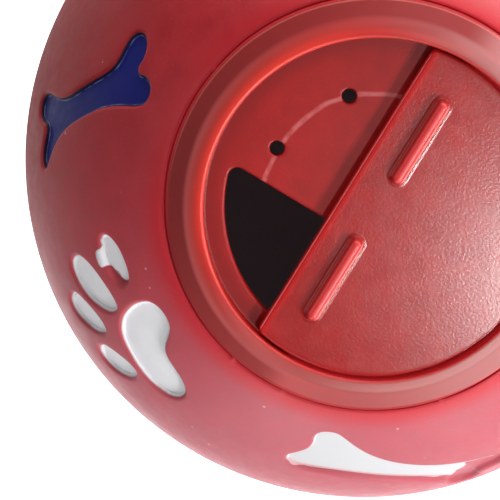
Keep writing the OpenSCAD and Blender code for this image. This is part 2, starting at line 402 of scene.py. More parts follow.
def softVinyl():
    s, look = newMaterial("softVinyl"), vinylLook
    base = s.blend(s.cloud(210.0, 4.0, 0.3, 0.7), look["deep"], look["red"])
    base = s.blend(s.cloud(3200.0, 2.0, 0.52, 0.8, 0.0, 0.45), base, look["pale"])
    specks = s.node("TexVoronoi", None, {"Vector": s.place(), "Scale": look["specksPerMetre"]}, "Distance")
    dust = s.spread(specks, *look["speckSize"], 1.0, 0.0) * s.cloud(60.0, 0.0, 0.46, 0.50)
    base = s.blend(dust * 0.7, base, look["speck"])
    # painted light on the ball: a painted sheen towards one side, paler above it as painted light, painted
    # shade at the far side, and a purer red beside the mouth, painted shade where the ring blocks the light
    # and its sheen
    x, y, z = s.axes()
    away = s.fromAxis(x, y)
    base = s.blend(s.spread(x * 0.6 - y * 0.8, *look["paintedSheenSpan"], 0.0, look["paintedSheenShare"]), base, look["paintedSheen"])
    base = s.blend(s.spread(y, *look["paintedTopLightSpan"], 0.0, look["paintedTopLightShare"]), base, look["upper"])
    base = s.blend(s.spread(x, *look["paintedLimbShadeSpan"], look["paintedLimbShadeShare"], 0.0), base, look["paintedLimbShade"])
    beside = s.spread(away, *look["ringShadeSpan"], look["ringShadeShare"], 0.0) * s.spread(z, 40.0, 44.0)
    base = s.blend(beside, base, look["rim"])
    # the seam at the ring: a darker red, with a painted red glow there for light that comes through the vinyl
    grooveLightAndShade = s.spread(away, *look["grooveLightAndShadeSpan"], 1.0, 0.0) * s.spread(z, 45.0, 47.0)
    base = s.blend(grooveLightAndShade, base, look["grooveLightAndShade"])
    # the inside gets only the little light that comes through the wall, given as a faint painted glow
    centreOut = s.node("VectorMath", {"operation": "LENGTH"}, {0: s.place()}, "Value") * (1 / mm)
    within = s.spread(centreOut, *look["insideSpan"], 1.0, 0.0)
    base = s.blend(within, base, look["inside"])
    rough = s.cloud(420.0, 3.0, 0.3, 0.7, look["roughness"] - 0.04, look["roughness"] + 0.05)
    normal = s.bump(s.noise(2600.0, 3.0), 0.28, 0.00008)
    glow = s.blend(grooveLightAndShade, s.blend(within, (0, 0, 0), look["through"]), look["grooveGlow"])
    return s.finish(base, rough, normal, **{
        **look["subsurface"], "Emission Color": glow, "Emission Strength": 1.0,
    })


plasticLook = {
    "red": (0.355, 0.003, 0.003), "deep": (0.30, 0.002, 0.002), "pale": (0.42, 0.016, 0.016),
    "face": (0.66, 0.115, 0.110), "topFace": (0.58, 0.030, 0.030), "farFace": (0.23, 0.040, 0.038),
    "sideFace": (0.29, 0.145, 0.140), "paintedCrestSheen": (0.50, 0.24, 0.235), "paintedShoulderShade": (0.14, 0.006, 0.006),
    "crest": (0.70, 0.036, 0.021), "line": (0.76, 0.15, 0.13), "rub": (0.66, 0.20, 0.20),
    "paintedCornerShade": (0.24, 0.002, 0.002), "grooveLightAndShade": (0.42, 0.008, 0.010), "grooveGlow": (0.11, 0.004, 0.006),
    "wearAndSheen": (0.38, 0.055, 0.053), "paintedFlankHighlight": (0.78, 0.24, 0.21), "ridge": (0.60, 0.008, 0.010),
    "subsurface": {
        "Subsurface Weight": 0.35, "Subsurface Radius": (1.0, 0.07, 0.06), "Subsurface Scale": 0.0016,
    },
}


def redPlastic(name, details, rough, index):
    # details: takes the shader, the plain colour and roughness, gives both with what only this piece has,
    # and where light that comes through the plastic shows in a groove
    s, look = newMaterial(name), plasticLook
    base = s.blend(s.cloud(260.0, 4.0, 0.3, 0.7), look["deep"], look["red"])
    base = s.blend(s.cloud(3000.0, 2.0, 0.52, 0.85, 0.0, 0.4), base, look["pale"])
    varied = s.cloud(380.0, 3.0, 0.3, 0.7, rough - 0.012, rough + 0.018)
    base, varied, glow = details(s, base, varied)
    normal = s.bump(s.noise(2400.0, 3.0), 0.22, 0.00007)
    return s.finish(base, varied, normal, **{
        "Emission Color": s.blend(glow, (0, 0, 0), look["grooveGlow"]), "Emission Strength": 1.0,
        **look["subsurface"], "IOR": index,
    })


ringTones = {  # in mm, where each tone begins and ends, from the axis unless a name says otherwise
    "topAlongY": (-2.0, 26.0),
    "farAcross": (-24.0, 24.0),
    "sideAcross": (-8.0, 26.0),
    "paintedFaceLight": (28.4, 30.4), "paintedFaceLightCrest": (27.9, 28.3), "paintedFaceLightShare": 0.9,
    "paintedShoulderShade": 29.9, "paintedCrestSheen": 28.8,
    "throughAlongX": (-27.0, -8.0), "throughShare": (0.85, 0.1),
    "crest": (28.3, 31.0), "crestHeight": (52.4, 53.8),
    "paintedEdgeHighlight": 27.85, "paintedFootHighlight": 33.28,
    "paintedCornerShade": (24.0, 26.6), "paintedCornerShadeHeight": (52.6, 53.6),
    "foot": (33.4, 33.65), "lowSideAlongY": (-24.0, -12.0),
    "wornTrack": 18.9,
    "rough": (28.0, 29.0), "roughMore": 0.3,
}


def insertDetails(s, base, rough):
    look, tones = plasticLook, ringTones
    x, y, z = s.axes()
    away = s.fromAxis(x, y)
    # painted light and shade on the ring's face: a pale painted sheen, redder at the top, darker away from it
    # and paler at the side
    paintedFaceLight = s.blend(s.spread(y, *tones["topAlongY"]), look["face"], look["topFace"])
    paintedFaceLight = s.blend(s.spread(x * 0.97 - y * 0.23, *tones["farAcross"]), paintedFaceLight, look["farFace"])
    paintedFaceLight = s.blend(s.spread(x * 0.85 + y * 0.52, *tones["sideAcross"]), paintedFaceLight, look["sideFace"])
    overCrest = s.spread(away, *tones["paintedFaceLightCrest"]) * s.spread(x, -22.0, -4.0)
    reach = s.maths("MAXIMUM", s.spread(away, *tones["paintedFaceLight"]), overCrest)
    base = s.blend(reach * tones["paintedFaceLightShare"], base, paintedFaceLight)
    # painted shade on the crest's shoulder, more towards the top, on the -X side only
    paintedShoulderShade = s.band(away, tones["paintedShoulderShade"], 0.5, 1.0) * s.spread(y, -10.0, 14.0, 0.14, 0.42)
    base = s.blend(paintedShoulderShade * s.spread(x, -8.0, 0.0, 1.0, 0.0), base, look["paintedShoulderShade"])
    # painted sheen on the crest, towards +X
    paintedCrestSheen = s.band(away, tones["paintedCrestSheen"], 0.5, 0.6) * s.spread(x, 0.0, 18.0, 0.0, 0.45)
    base = s.blend(paintedCrestSheen, base, look["paintedCrestSheen"])
    # light shines through the crest, more on the side away from the key light
    through = s.spread(x, *tones["throughAlongX"], *tones["throughShare"])
    crest = s.spread(away, *tones["crest"], 1.0, 0.0) * s.spread(z, *tones["crestHeight"])
    base = s.blend(crest * through, base, look["crest"])
    # a painted highlight along the crest's inner edge
    paintedEdgeHighlight = s.band(away, tones["paintedEdgeHighlight"], 0.05, 0.15) * s.spread(z, 54.3, 54.6)
    base = s.blend(paintedEdgeHighlight * 0.3, base, look["line"])
    # painted shade on the floor beside the wall, and on the wall's foot
    paintedCornerShade = s.spread(away, *tones["paintedCornerShade"]) * s.spread(z, *tones["paintedCornerShadeHeight"], 0.9, 0.0)
    base = s.blend(paintedCornerShade * s.spread(x, -3.0, 4.0, 1.0, 0.0), base, look["paintedCornerShade"])
    # light caught in the narrow gaps round the gate and at the ring's foot, where the ball's edge stands
    # higher on the low side and shades it
    byGate = s.spread(x, -1.0, 3.0)
    gap = s.spread(away, 27.2, 27.5) * s.spread(away, 27.7, 27.9, 1.0, 0.0) * byGate
    foot = s.spread(away + s.spread(y, *tones["lowSideAlongY"], 0.38, 0.0), *tones["foot"])
    # a painted highlight line along the ring's foot, away from the low side
    paintedFootHighlight = s.band(away, tones["paintedFootHighlight"], 0.06, 0.12) * s.spread(y, -20.0, -4.0)
    base = s.blend(paintedFootHighlight * 0.45, base, look["line"])
    base = s.blend(gap + foot, base, look["grooveLightAndShade"])
    base = s.blend(foot * s.spread(y, *tones["lowSideAlongY"], 0.8, 0.0), base, look["paintedCornerShade"])
    lowGap = s.spread(away, 26.6, 27.3) * s.spread(z, 53.8, 54.4, 1.0, 0.0) * byGate
    glow = lowGap + foot * s.spread(y, *tones["lowSideAlongY"], 0.1, 1.0)
    # where the gate's nub has rubbed the floor, in blotches
    track = s.band(away + s.noise(160.0, 1.0), tones["wornTrack"], 0.12, 0.42)
    track = track * s.cloud(650.0, 3.0, 0.25, 0.62, 0.25, 1.0)
    track = track * s.spread(z, 51.3, 51.5) * s.spread(x, -19.5, -18.0, 0.35, 1.0)
    base = s.blend(track * 0.5, base, look["rub"])
    face = s.spread(away, *tones["rough"]) * s.spread(z, 49.0, 49.5)
    return base, rough + face * tones["roughMore"], glow


gateTones = {  # in mm
    "topHeight": (53.0, 54.0), "wearAndSheenShare": 0.2,
    "ridgeHeight": (54.1, 54.6), "ridgeFoot": (54.043, 54.11), "ridgeTop": (55.3, 55.9),
    "edgeAlongX": (-5.0, -4.2),
    "rim": (26.75, 27.1), "rimHeight": (53.4, 53.8),
    "ridgeRoughMore": 0.25,
}


def gateDetails(s, base, rough):
    look, tones = plasticLook, gateTones
    x, y, z = s.axes()
    # the flat top is worn, with a painted sheen in the same tone; the straight edge and the ridges' tops a
    # purer red, a painted glow for light through the thin plastic
    wearAndSheen, raised = tones["wearAndSheenShare"], s.spread(z, *tones["ridgeHeight"])
    base = s.blend(s.spread(z, *tones["topHeight"], 0.0, wearAndSheen) - raised * wearAndSheen, base, look["wearAndSheen"])
    base = s.blend(s.spread(x, *tones["edgeAlongX"], 1.0, 0.0) * 0.4, base, look["ridge"])
    base = s.blend(s.spread(z, *tones["ridgeTop"]) * 0.85, base, look["ridge"])
    # a painted highlight along the ridges, more on one flank than on the other
    paintedFlankHighlight = s.spread(x, 0.7, 0.92) * s.spread(z, 54.3, 54.7)
    otherPaintedFlankHighlight = s.spread(x, -1.15, -0.95, 1.0, 0.0) * s.spread(z, 54.4, 54.9)
    onRidge = s.spread(x, -2.0, -1.9) * 0.75
    base = s.blend((paintedFlankHighlight + otherPaintedFlankHighlight * 0.4) * onRidge, base, look["paintedFlankHighlight"])
    # a brighter red and a painted glow at the gate's rim, for light caught in the gap round it
    rim = s.spread(s.fromAxis(x, y), *tones["rim"]) * s.spread(z, *tones["rimHeight"], 1.0, 0.0)
    base = s.blend(rim, base, look["grooveLightAndShade"])
    return base, rough + s.spread(z, *tones["ridgeFoot"]) * tones["ridgeRoughMore"], rim


blueLook = {
    "main": (0.010, 0.014, 0.17), "paintedShadeTowardsX": (0.010, 0.014, 0.17), "shade": (0.016, 0.020, 0.15),
    "wall": (0.006, 0.006, 0.035), "line": (0.20, 0.22, 0.36), "edge": (0.07, 0.010, 0.03), "roughness": 0.42,
}
whiteLook = {
    "main": (0.94, 0.93, 0.96), "paintedShadeTowardsX": (0.56, 0.56, 0.575), "shade": (0.80, 0.80, 0.83),
    "wall": (0.76, 0.76, 0.79), "line": (0.56, 0.56, 0.60), "edge": (0.60, 0.36, 0.38), "roughness": 0.48,
}


def motifPaint(name, look):
    # cover: 0 at the film's edge where it fades to the vinyl; deep: mm below the ball's surface
    s = newMaterial(name)
    base = s.blend(s.cloud(300.0, 3.0, 0.35, 0.7, 0.0, 0.3), look["main"], look["shade"])
    base = s.blend(s.spread(s.axes()[0], -38.0, 14.0), base, look["paintedShadeTowardsX"])  # painted shade, darker towards +X
    deep = s.kept("deep")
    # painted shade on the sunk form's walls
    base = s.blend(s.spread(deep, 0.84, 1.02, 1.0, 0.0), base, look["wall"])
    # a painted line where the floor meets the wall: a highlight on the blue, shade on the white
    base = s.blend(s.band(deep, 0.97, 0.03, 0.08) * s.cloud(500.0, 2.0, 0.3, 0.7), base, look["line"])
    ragged = s.kept("cover") + s.noise(1500.0, 2.0) * 0.3
    base = s.blend(s.spread(ragged, 0.2, 0.95, 1.0, 0.0), base, look["edge"])
    varied = s.cloud(600.0, 2.0, 0.3, 0.7, look["roughness"] - 0.05, look["roughness"] + 0.06)
    return s.finish(base, varied, s.bump(s.noise(1900.0, 3.0), 0.2, 0.0001), **{"Specular IOR Level": 0.12})


def zincSteel():
    s = newMaterial("zincSteel")
    drawn = s.node("Mapping", None, {"Vector": s.place(), "Scale": (300.0, 300.0, 4000.0)})
    lines = s.noise(1.0, 3.0, vector=drawn)
    base = s.blend(lines, (0.5, 0.51, 0.53), (0.68, 0.68, 0.68))
    return s.finish(base, s.spread(lines, 0.3, 0.7, 0.22, 0.42), s.bump(lines, 0.1, 0.0001), Metallic=1.0)


vinyl = softVinyl()
insertPlastic = redPlastic("insertPlastic", insertDetails, 0.40, 1.42)
gatePlastic = redPlastic("gatePlastic", gateDetails, 0.21, 1.65)
blueFilm = motifPaint("blueFilm", blueLook)
whiteFilm = motifPaint("whiteFilm", whiteLook)
steel = zincSteel()

# outlines in mm on the ball's surface, x round the ball and y towards the mouth
boneQuarter = [  # from the waist to the notch in the end
    (5, 3.45), (9, 4.1), (11.4, 5.6), (13.4, 7.1), (15.8, 7.1), (17.6, 5.4), (17.7, 3.0), (16.6, 1.0),
]
bone = [(0, 3.3), *boneQuarter, (16.3, 0), *[(x, -y) for x, y in reversed(boneQuarter)]]
bone += [(-x, -y) for x, y in bone]
leftBone = [
    (-4, 13.4), (-5.8, 12.7), (-6.7, 11), (-6.7, 9.3), (-7.6, 8.6), (-9.2, 8.8), (-11.2, 8.2),
    (-12.7, 6.7), (-12.8, 4.9), (-11.6, 3.6), (-9.6, 3.2), (-7.4, 3.1), (-5.6, 2.5), (-3.8, 0.9),
    (-2, -1.3), (0.2, -4.1), (2.2, -6.8), (3.5, -9.6), (4, -12.6), (4.2, -15.4), (5, -17.8), (6.8, -18.9),
    (8.7, -18.1), (9.5, -16), (9.7, -13.9), (11, -13), (13.2, -13.2), (15.4, -13), (16.7, -11.8),
    (16.2, -10.3), (14, -9.2), (10.8, -7.6), (8.1, -5.5), (5.8, -2.9), (3.8, 0), (1.9, 2.8), (0.4, 5.8),
    (-0.7, 8.8), (-1.5, 11.3), (-2.5, 12.9),
]
lowerBone = [
    (-9, 12.2), (-10.6, 11.7), (-11.5, 10.1), (-11.8, 8.2), (-12.6, 6.3), (-14.2, 4.6), (-15.8, 3.1),
    (-16.4, 1.3), (-15.9, -0.5), (-14.4, -1.6), (-12, -2.1), (-8.5, -2.7), (-4.5, -3.6), (-0.5, -4.9),
    (3.5, -6.5), (7.3, -8.4), (10, -10.4), (11.4, -12.6), (12.4, -15), (14.2, -16.4), (16.4, -16),
    (17.6, -14.2), (17.6, -12.2), (18.6, -11), (20.6, -10.2), (22, -8.4), (22.1, -6.1), (20.8, -4.4),
    (18.4, -3.5), (15.2, -2.8), (11.8, -1.9), (8.3, -0.7), (5, 0.8), (1.6, 2.7), (-1.5, 5), (-4.2, 7.8),
    (-6.2, 10.4), (-7.5, 11.8),
]
pawForms = {
    "pad": [
        (1, 13.5), (-0.8, 13), (-2.1, 11.5), (-2.5, 9.3), (-2.3, 7), (-1.5, 4.4), (-0.3, 2.2), (1.4, 0.4),
        (3.6, -0.7), (6.4, -1.3), (9.4, -1.6), (12.4, -1.2), (14.8, 0.1), (16.1, 2.2), (16, 4.6), (14.9, 6.4),
        (13, 7.5), (10.8, 7.9), (8.7, 8.1), (7, 8.6), (5.8, 9.7), (4.8, 11.2), (3.6, 12.6), (2.4, 13.3),
    ],
    "toeOne": [
        (-10, 10), (-12.4, 9.6), (-14.3, 8.4), (-15.1, 6.9), (-14.4, 5.5), (-12.6, 4.9), (-10, 4.8),
        (-7.7, 5.3), (-6.2, 6.3), (-5.9, 7.9), (-6.8, 9.3), (-8.3, 9.9),
    ],
    "toeTwo": [
        (-3.1, 3.1), (-5, 3), (-7.6, 2.1), (-10.3, 0.6), (-12.4, -1.6), (-13, -3.8), (-12.3, -5.9),
        (-10.3, -6.8), (-8, -6.4), (-5.5, -4.9), (-3.5, -2.6), (-2.2, 0), (-2.2, 2.1),
    ],
    "toeThree": [
        (0.1, -4.1), (-1.7, -4.4), (-4.1, -6), (-6, -8), (-6.8, -9.9), (-6.4, -11.9), (-5.2, -13.4),
        (-3.4, -13.8), (-1.6, -12.6), (0, -10.4), (1.1, -8), (1.4, -6), (1.1, -4.7),
    ],
    "toeFour": [
        (8.8, -3.1), (7.1, -3.9), (5.3, -5.6), (3.9, -7.7), (3.6, -9.6), (4.1, -11.7), (5.6, -13),
        (7.4, -12.8), (9, -11.4), (10.1, -9.3), (10.7, -7), (10.5, -4.8), (9.8, -3.5),
    ],
}
motifs = [  # form, paint, angle from the mouth, angle round the ball, turn, size
    (leftBone, "blue", 55, -168, 0, 1),
    (lowerBone, "white", 52, -56, 0, 1),
    ("paw", "white", 53.5, -121, 0, 1),
    (bone, "blue", 56, 67, -38, 1),
    (bone, "blue", 124, -45, 35, 1),
    (bone, "white", 123, 75, 150, 1),
    (bone, "white", 124, -165, 40, 1),
    ("paw", "blue", 53.5, 7, 28, 1),
    ("paw", "blue", 124, 135, 190, 1),
    ("paw", "white", 54, 128, -20, 1),
    ("paw", "white", 124, 15, 200, 1),
    ("paw", "white", 125, -105, 165, 1),
]
# where the painter missed the sunk form or ran over its rim
toeOnePaint = pawForms["toeOne"][:5] + [
    (-13.2, 5.0), (-12.9, 4.0), (-12.3, 3.3), (-10.6, 3.2), (-9.9, 3.9), (-9.9, 4.9), (-9.2, 5.5),
    (-8.0, 6.1), (-7.0, 6.9), (-6.5, 7.8), (-6.8, 9.0), (-8.3, 9.9),
]
lowerBonePaint = lowerBone[:8] + [
    (-16.0, -0.2), (-15.0, -1.3), (-12, -1.9), (-8.5, -2.4), (-4.5, -3.3), (-0.5, -4.6), (3.5, -6.2),
    (7.3, -8.1), (10, -10.1), (11.4, -11.2), (12.7, -12.4), (13.3, -10.9), (13.6, -9.4), (14.5, -8.7),
    (15.2, -7.4), (14.9, -6.1), (15.6, -5.2), (17.2, -4.7), (18.6, -4.1), (19.8, -3.9), (19.6, -3.4),
    (17.6, -3.0), (15.2, -2.4), (11.8, -1.6), (8.3, -0.6),
] + lowerBone[-6:]
pocket = {
    "spacing": 0.5,
    "paintSpacing": 0.3,
    "clear": 0.85,  # how far the ball's even points stay from the loops
    "profile": [  # way in from the rim, depth
        (-0.75, 0.0), (-0.52, 0.025), (-0.3, 0.09), (-0.12, 0.21), (0.02, 0.4), (0.1, 0.6), (0.18, 0.8),
        (0.3, 0.97), (0.48, 1.07), (0.8, 1.1),
    ],
}

film = {
    "thick": 0.10,
    "under": 0.05,  # how far it reaches into the wall
    "start": 0.02,  # way in from the rim, and how much that varies
    "wave": 0.04,
    "waveAcross": 7,  # points of the rim that one wave is smoothed over
    "fade": 0.12,
    "slowFade": 1.15,  # where the spray missed a wall
    "fadeRows": (0.25, 0.5, 0.75, 1.0, 1.25),  # rows of points there, way in from the film's edge
    "edgeRound": 0.12,
    "lift": 0.012,  # above the ball at its very edge
    "spacing": 1.1,
    "edgeSpacing": 0.25,
    "loopSpacing": 0.27,
    "reach": 26.0,  # half the width of the grid that covers a form
    "edgeGap": 0.14,
    "gridGap": 0.45,  # from a sunk form's wall to the first points of the grid
    "cell": 0.09,  # one point to a cell
}


def onBall(spot, flat, radius):
    # a flat outline round a spot of the ball becomes points at that radius
    polar, around = math.radians(spot[0]), math.radians(spot[1])
    reach = math.sin(polar)
    centre = np.array([reach * math.cos(around), reach * math.sin(around), math.cos(polar)])
    north = np.array([0, 0, 1.0]) - centre * centre[2]
    north /= np.linalg.norm(north)
    east = np.cross(north, centre)
    far = np.maximum(np.linalg.norm(flat, axis=1), 1e-9)
    way = (flat[:, :1] * east + flat[:, 1:] * north) / far[:, None]
    angle = (far / ball["radius"])[:, None]
    return np.asarray(radius).reshape(-1, 1) * (np.cos(angle) * centre + np.sin(angle) * way)


def turnedFlat(points, turn, size):
    t = math.radians(turn)
    p = np.array(points, float) * size
    x, y = p[:, 0], p[:, 1]
    return np.stack([x * math.cos(t) - y * math.sin(t), x * math.sin(t) + y * math.cos(t)], 1)


def anticlockwise(loop):
    return loop if area(loop) > 0 else loop[::-1]


def motifForms():
    forms = []
    for shape, paint, polar, around, turn, size in motifs:
        parts = pawForms if shape == "paw" else {"bone": shape}
        for label, points in parts.items():
            outline = anticlockwise(smoothLoop(turnedFlat(points, turn, size), pocket["spacing"]))
            painted, fade = None, 0.0
            if turn == 0 and label == "toeOne":
                painted = anticlockwise(smoothLoop(toeOnePaint, pocket["paintSpacing"]))
            elif shape is lowerBone:
                painted = anticlockwise(smoothLoop(lowerBonePaint, pocket["paintSpacing"]))
                fade = film["slowFade"]
            forms.append({
                "spot": (polar, around), "outline": outline, "paint": paint, "painted": painted, "fade": fade,
            })
    return forms


ball = {
    "radius": ballReach,
    "cavityRadius": ballReach - 3.0,
    "cavityRows": 64,
    "cavityEnd": 179.0,  # degrees from the mouth to the last row
    "mouthRadius": 34.0,  # the seat that the ring drops into
    "edgeWide": 1.15,  # rounding of the mouth's edge, along the ball
    "edgeDeep": 0.42,
    "lean": 0.27,  # how far the edge leans in to the ring, below its rounding
    "creepFoot": 47.2,  # the soft edge moves above this height
    "creepTall": 1.2,  # and moves fully so far above it
    "creepWide": 1.05,  # and so far in from where its rounding starts
    "unevenIn": 0.045,  # its own small waves
    "unevenUp": 0.05,
    "seatHeight": 46.24,  # foot of the seat
    "seatRise": 4.3,
    "lipRadius": 30.3,
    "lipBottom": insertTop - 11.8,
    "spacing": 1.5,  # between points of the plain surface
    "steps": 720,
}
# where the soft edge creeps over the ring: angle round the ball, half width in degrees, way in, rise
creeps = [
    (-100.9, 0.55, 0.42, 0.45), (-84.5, 0.5, 0.2, 0.22), (-70.0, 28.0, 0.22, 0.26), (171.0, 0.5, 0.25, 0.3),
    (128.0, 3.0, 0.12, 0.1), (64.0, 0.6, 0.3, 0.3), (20.0, 5.0, 0.2, 0.12), (-40.0, 0.5, 0.3, 0.3),
]
forms = motifForms()


def stereo(points):
    # from the far side of the mouth's axis, so that the mouth is the outside of the plane
    unit = points / np.linalg.norm(points, axis=1)[:, None]
    return unit[:, :2] / (1 - unit[:, 2:])


def unstereo(flat):
    r2 = np.sum(flat * flat, axis=1)[:, None]
    return np.hstack([2 * flat, r2 - 1]) / (r2 + 1)


def mouthProfile():
    # the mouth's edge, the seat, the lip and the cavity, from the ball's surface inwards
    radius, edge = ball["radius"], ball["mouthRadius"]
    start = edge + ball["edgeWide"]
    lift = math.sqrt(radius ** 2 - start ** 2)
    drop = math.sqrt(radius ** 2 - edge ** 2) - ball["edgeDeep"]
    knee = (edge + 0.1, lift + (start - edge - 0.1) * start / lift * 0.86)
    profile = [(start, lift)] + curved((start, lift), knee, (edge, drop), 9)
    leant, foot = edge - ball["lean"], ball["seatHeight"]
    profile += [(edge - 0.08, drop - 0.12), (leant + 0.05, drop - 0.3), (leant, drop - 0.7)]
    profile += [(edge, drop - 1.9)]
    profile += [(edge, foot + 0.3), (edge - 0.3, foot + 0.35)]
    lip, rise, low = ball["lipRadius"], foot + ball["seatRise"], ball["lipBottom"]
    profile += [(lip + 0.4, rise - 0.1), (lip, rise - 0.5), (lip, low + 0.5), (lip + 0.5, low)]
    inner = ball["cavityRadius"]
    for polar in np.linspace(math.acos(low / inner), math.radians(ball["cavityEnd"]), ball["cavityRows"]):
        profile.append((inner * math.sin(polar), inner * math.cos(polar)))
    return profile, lift


def creepIn(points):
    # moves the points of the mouth's soft edge in and up where it creeps over the ring
    around = np.degrees(np.arctan2(points[:, 1], points[:, 0]))
    away = np.hypot(points[:, 0], points[:, 1])
    edge = ball["mouthRadius"]
    share = np.clip((edge + ball["edgeWide"] - away) / ball["creepWide"], 0, 1)
    share = share * np.clip((points[:, 2] - ball["creepFoot"]) / ball["creepTall"], 0, 1)
    inward = ball["unevenIn"] * (np.sin(np.radians(around * 7)) + np.sin(np.radians(around * 17 + 50))) / 2
    rise = ball["unevenUp"] * np.sin(np.radians(around * 11 + 20))
    for centre, half, way, up in creeps:
        gap = (around - centre + 180) % 360 - 180
        bump = np.exp(-(gap / half) ** 2)
        inward = inward + way * bump
        rise = rise + up * bump
    moved = points.copy()
    moved[:, :2] *= (1 - inward * share / away)[:, None]
    moved[:, 2] += rise * share
    return moved


def ballSurface():
    skin = Skin()
    radius = ball["radius"]
    profile, lift = mouthProfile()
    points, faces, first, last = turnedForm(profile, ball["steps"], vinyl)
    skin.take(creepIn(points), faces)
    skin.close(last, (0, 0, -ball["cavityRadius"]))
    # the sunk forms: each outline's loops step down from the surface to the floor
    outer, innermost = [], []
    for form in forms:
        made = [
            onBall(form["spot"], movedIn(form["outline"], way), radius - deep)
            for way, deep in pocket["profile"]
        ]
        ids = [skin.loop(points) for points in made]
        for a, b in zip(ids, ids[1:]):
            skin.bridge(a, b)
        outer.append(made[0])
        innermost.append(made[-1])
    # even points over the rest, away from the loops
    bound = np.vstack([first, *outer, *innermost])
    tree = KDTree(len(bound))
    for i, p in enumerate(bound):
        tree.insert(p, i)
    tree.balance()
    count = int(4 * math.pi * radius ** 2 / (0.866 * ball["spacing"] ** 2))  # each has a hexagon's room
    i = np.arange(count) + 0.5
    z = 1 - 2 * i / count
    turn = i * math.pi * (3 - math.sqrt(5))
    r = np.sqrt(1 - z * z)
    plain = radius * np.stack([r * np.cos(turn), r * np.sin(turn), z], 1)
    plain = plain[plain[:, 2] < lift - 0.6]
    plain = plain[[tree.find(p)[2] > pocket["clear"] for p in plain]]
    flat = stereo(np.vstack([bound, plain]))
    sets, at = [], 0
    for points in [first, *outer, *innermost]:
        sets.append(list(range(at, at + len(points))))
        at += len(points)
    points, triangles, owners = triangulate(flat, sets)
    radii = np.full(len(points), radius)
    keep = []
    for tri, own in zip(triangles, owners):
        own = own - {0}
        onFloor = any(k > len(forms) for k in own)
        if onFloor:
            radii[list(tri)] = radius - pocket["profile"][-1][1]
        if onFloor or not own:
            keep.append(tri)
    skin.take(unstereo(points) * radii[:, None], keep)
    piece = skin.build("softBall", vinyl, weld=0.004)
    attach(piece, "ball")
    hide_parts("ball_shell")


ballSurface()
print("ball done")


def toOutline(outline, flat):
    # signed distance of flat points to an outline, above 0 inside, and the nearest side
    a, b = outline, np.roll(outline, -1, 0)
    side = b - a
    rel = flat[:, None, :] - a[None]
    t = np.clip(np.sum(rel * side[None], axis=2) / np.sum(side * side, axis=1), 0, 1)
    gap = np.linalg.norm(rel - t[..., None] * side[None], axis=2)
    crossing = (a[None, :, 1] > flat[:, None, 1]) != (b[None, :, 1] > flat[:, None, 1])
    high = np.where(np.abs(side[:, 1]) < 1e-12, 1e-12, side[:, 1])
    cut = side[:, 0] * (flat[:, None, 1] - a[None, :, 1]) / high + a[None, :, 0]
    inside = np.sum(crossing & (flat[:, None, 0] < cut), axis=1) % 2 == 1
    near = gap.min(axis=1)
    return np.where(inside, near, -near), gap.argmin(axis=1)


def pocketDepth(form, flat):
    away, _ = toOutline(form["outline"], flat)
    steps = np.array(pocket["profile"])
    return np.interp(away, steps[:, 0], steps[:, 1]), away


def filmPoints(form, rng):
    # the film's edge, and flat points inside it that follow the sunk form's curves
    outline, deepest = form["outline"], pocket["profile"][-1][0]
    if form["painted"] is None:
        even = np.full(film["waveAcross"], 1 / film["waveAcross"])
        wave = np.convolve(np.tile(rng.normal(0, 1, len(outline)), 3), even, "same")
        wave = wave[len(outline):2 * len(outline)]
        way = (film["start"] + film["wave"] * wave)[:, None]
        edge = evenly(outline + inwards(outline) * way, film["edgeSpacing"])
    else:
        edge = form["painted"]
    cloud = [evenly(movedIn(outline, way), film["loopSpacing"]) for way, _ in pocket["profile"]]
    step, reach = film["spacing"], film["reach"]
    line = np.arange(-reach, reach, step)
    grid = np.stack(np.meshgrid(line, line), -1).reshape(-1, 2)
    grid[:, 0] += step / 2 * (np.round(grid[:, 1] / step) % 2)
    cloud.append(grid[pocketDepth(form, grid)[1] > deepest + film["gridGap"]])
    if form["fade"]:
        cloud += [movedIn(edge, way) for way in film["fadeRows"]]
    cloud = np.vstack(cloud)
    cloud = cloud[toOutline(edge, cloud)[0] > film["edgeGap"]]
    cell = film["cell"]
    cells = {(round(x / cell), round(y / cell)): (x, y) for x, y in cloud}
    return edge, np.array(list(cells.values()))


def paintFilm(skin, form, rng):
    edge, cloud = filmPoints(form, rng)
    flat = np.vstack([edge, cloud])
    points, triangles, owners = triangulate(flat, [list(range(len(edge)))])
    triangles = np.array([t for t, own in zip(triangles, owners) if 0 in own])
    depth, _ = pocketDepth(form, points)
    base = onBall(form["spot"], points, ball["radius"] - depth)
    normal = np.zeros_like(base)
    first, second, third = (base[triangles[:, k]] for k in range(3))
    side = np.cross(second - first, third - first)
    for k in range(3):
        np.add.at(normal, triangles[:, k], side)
    normal /= np.maximum(np.linalg.norm(normal, axis=1), 1e-12)[:, None]
    if np.sum(normal * base) < 0:
        normal = -normal
        triangles = triangles[:, ::-1]
    way, nearest = toOutline(edge, points)
    # the lower edge fades more slowly where the spray missed the wall
    soft = film["fade"] + form["fade"] * np.clip(inwards(edge)[nearest, 1] * 1.6, 0, 1)
    cover = np.clip(way / soft, 0, 1)
    rise = film["thick"] * (1 - np.exp(-np.maximum(way, 0) / film["edgeRound"]))
    above, below = base + normal * (rise + film["lift"])[:, None], base - normal * film["under"]
    top = skin.take(above, triangles.tolist(), cover=cover, deep=depth)
    low = skin.take(below, triangles[:, ::-1].tolist(), cover=cover, deep=depth)
    # close the film's edge
    sides = {(t[k], t[(k + 1) % 3]) for t in triangles.tolist() for k in range(3)}
    for a, b in sorted(sides):
        if (b, a) not in sides:
            skin.faces.append((top + b, top + a, low + a, low + b))


def paintPiece(name, paint, node, material, seed):
    skin, rng = Skin(), np.random.default_rng(seed)
    for form in forms:
        if form["paint"] == paint:
            paintFilm(skin, form, rng)
    piece = skin.build(name, material, weld=0.0002)
    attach(piece, "ball")
    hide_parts(node)


